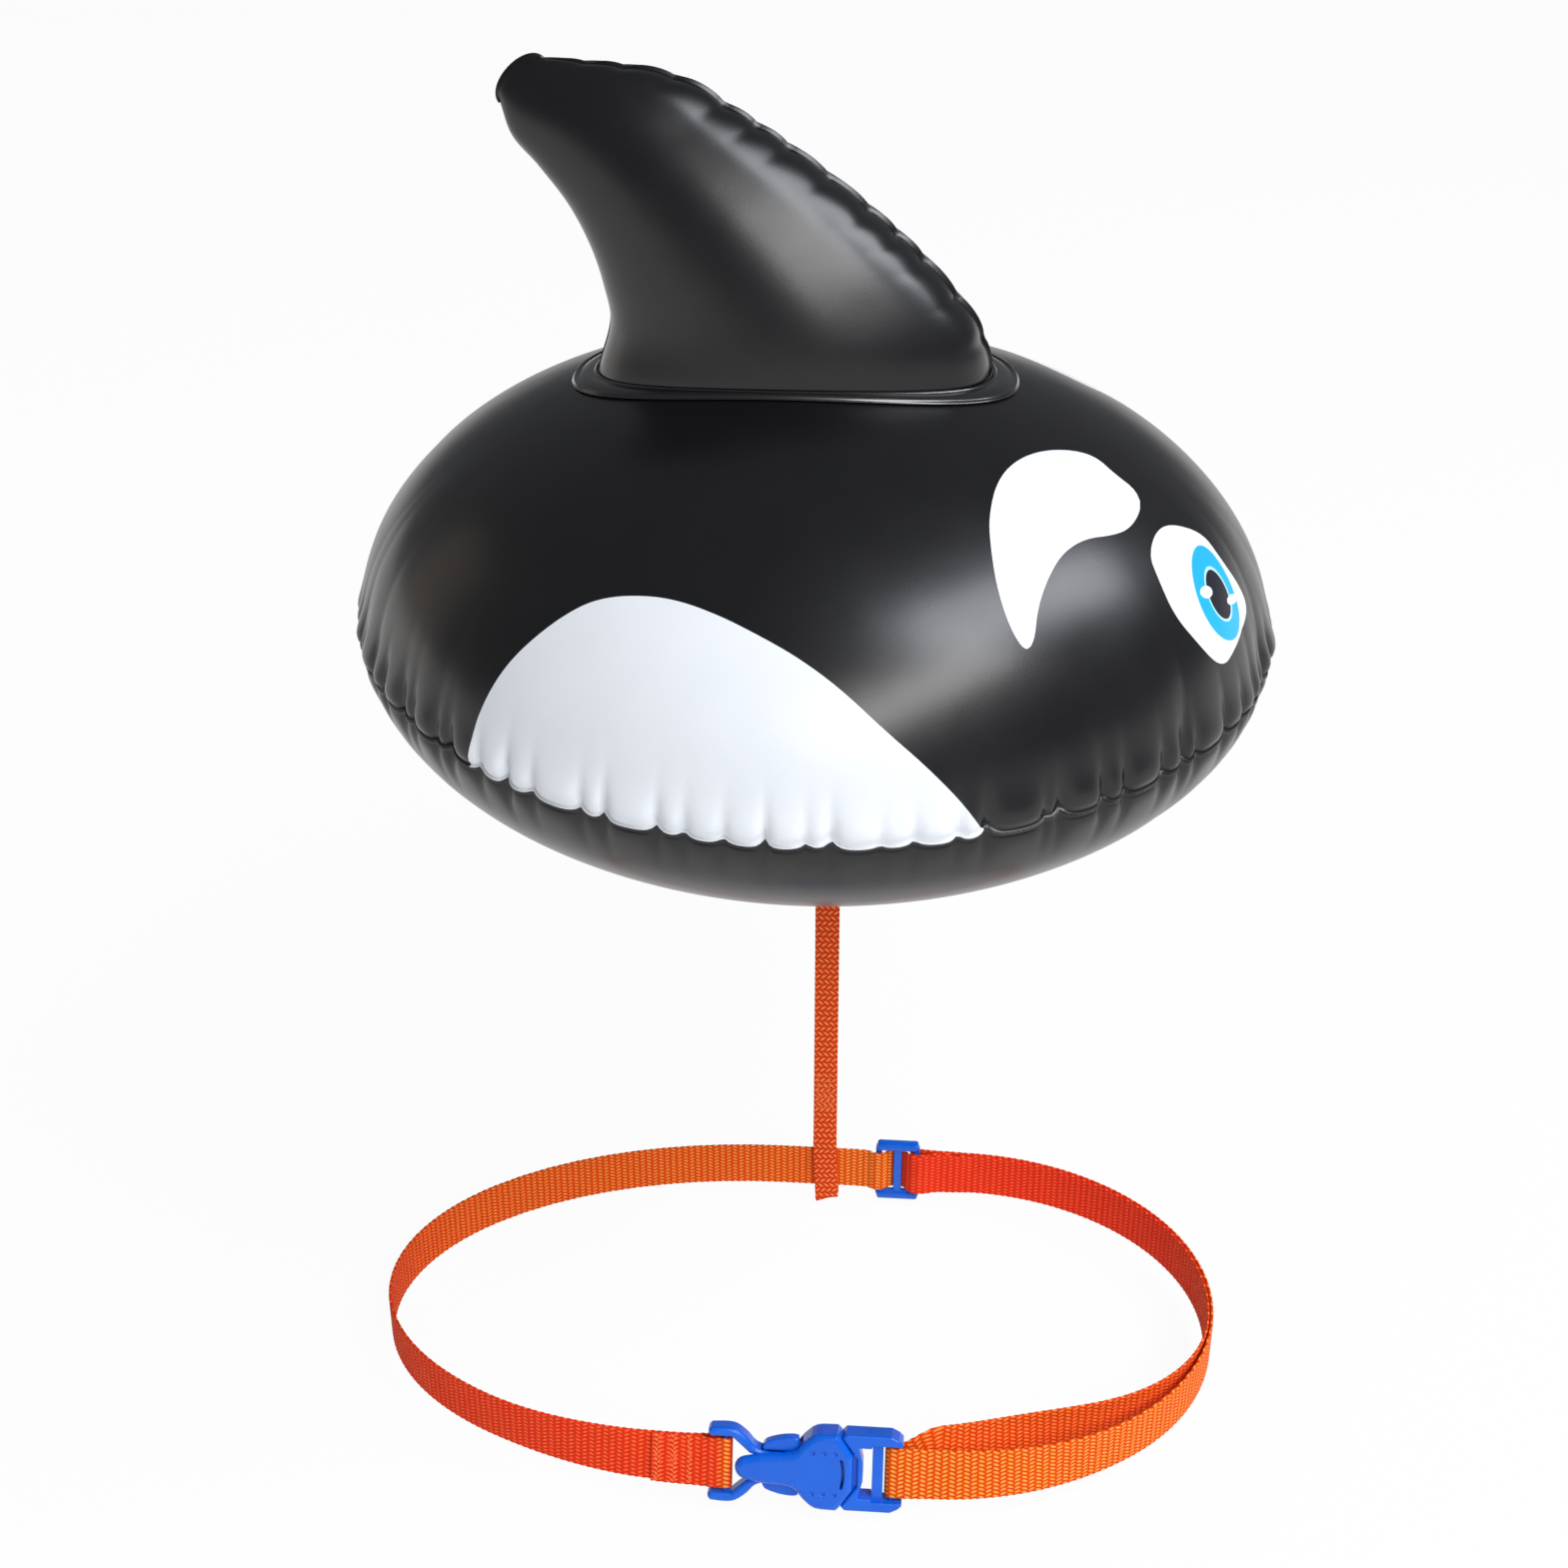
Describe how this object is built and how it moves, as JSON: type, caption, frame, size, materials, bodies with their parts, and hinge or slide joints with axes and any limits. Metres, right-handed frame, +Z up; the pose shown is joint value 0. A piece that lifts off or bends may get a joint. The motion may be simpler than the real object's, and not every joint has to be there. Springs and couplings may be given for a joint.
{
  "type": "open water swim buoy",
  "caption": "Inflated swim safety buoy shaped like a finned whale, towed by a flat strap from a waist belt with a side-release buckle.",
  "frame": {"origin": "middle of the float on the plane of its weld seam, where it sits in the water", "axes": "+Z up through the fin, +X towards the float's head, -Y towards the side that carries the buckle"},
  "size_m": [0.4322, 0.4374, 0.6109],
  "materials": {
    "hull_upper_sheet": "satin black welded PVC sheet with white printed patches",
    "hull_lower_sheet": "satin black welded PVC sheet",
    "fin_sheet": "satin black welded PVC sheet",
    "collar_sheet": "satin black PVC with a pressed weld line",
    "valve_moulding": "soft black moulded PVC",
    "anchor_moulding": "soft black moulded PVC",
    "tether_webbing": "narrow woven orange webbing",
    "belt_webbing": "ribbed woven orange webbing",
    "buckle_plastic": "satin moulded blue acetal",
    "glide_plastic": "satin moulded blue acetal"
  },
  "bodies": {
    "float": {"hull_upper_panel": "hull_upper_sheet", "hull_lower_panel": "hull_lower_sheet", "fin_near_panel": "fin_sheet", "fin_far_panel": "fin_sheet", "fin_base_collar": "collar_sheet", "valve_flange": "valve_moulding", "tether_anchor_patch": "anchor_moulding", "tether_strap": "tether_webbing"},
    "valve_stem": {"valve_stem": "valve_moulding"},
    "valve_plug": {"valve_plug": "valve_moulding"},
    "valve_flap": {"valve_flap": "valve_moulding"},
    "belt": {"belt_webbing": "belt_webbing", "adjuster_webbing_inner": "belt_webbing", "adjuster_webbing_outer": "belt_webbing", "buckle_socket": "buckle_plastic"},
    "buckle_plug": {"buckle_plug": "buckle_plastic"},
    "prong_upper": {"plug_prong_upper": "buckle_plastic"},
    "prong_lower": {"plug_prong_lower": "buckle_plastic"},
    "tri_glide": {"tri_glide": "glide_plastic"}
  },
  "joints": [
    {"name": "valve_stem_slide", "type": "slide", "parent": "float", "child": "valve_stem", "axis": [-0.3135, 0.4606, 0.8304], "range_m": [0, 0.0068]},
    {"name": "valve_plug_hinge", "type": "hinge", "parent": "valve_stem", "child": "valve_plug", "pos_m": [-0.10788, 0.10824, 0.09577], "axis": [0.4673, -0.6864, 0.5571], "range_deg": [0, 120]},
    {"name": "valve_flap_hinge", "type": "hinge", "parent": "valve_stem", "child": "valve_flap", "pos_m": [-0.0999, 0.10097, 0.08012], "axis": [-0.4673, 0.6864, -0.5571], "range_deg": [0, 60], "stiffness_Nm_per_rad": 0.002},
    {"name": "belt_slide", "type": "slide", "parent": "float", "child": "belt", "axis": [1, 0, 0], "range_m": [-0.009, 0.009]},
    {"name": "buckle_release", "type": "slide", "parent": "belt", "child": "buckle_plug", "axis": [1, 0, 0], "range_m": [0, 0.045], "deforming": ["adjuster_webbing_inner", "adjuster_webbing_outer", "plug_prong_upper", "plug_prong_lower"]},
    {"name": "prong_upper_squeeze", "type": "hinge", "parent": "buckle_plug", "child": "prong_upper", "pos_m": [0.02675, -0.21906, -0.32597], "axis": [0, -0.9511, 0.309], "range_deg": [0, 6], "stiffness_Nm_per_rad": 1},
    {"name": "prong_lower_squeeze", "type": "hinge", "parent": "buckle_plug", "child": "prong_lower", "pos_m": [0.02675, -0.22494, -0.34403], "axis": [0, 0.9511, -0.309], "range_deg": [0, 6], "stiffness_Nm_per_rad": 1},
    {"name": "tri_glide_slide", "type": "slide", "parent": "belt", "child": "tri_glide", "axis": [1, 0, 0], "range_m": [-0.009, 0.018], "deforming": ["adjuster_webbing_inner", "adjuster_webbing_outer"]}
  ]
}
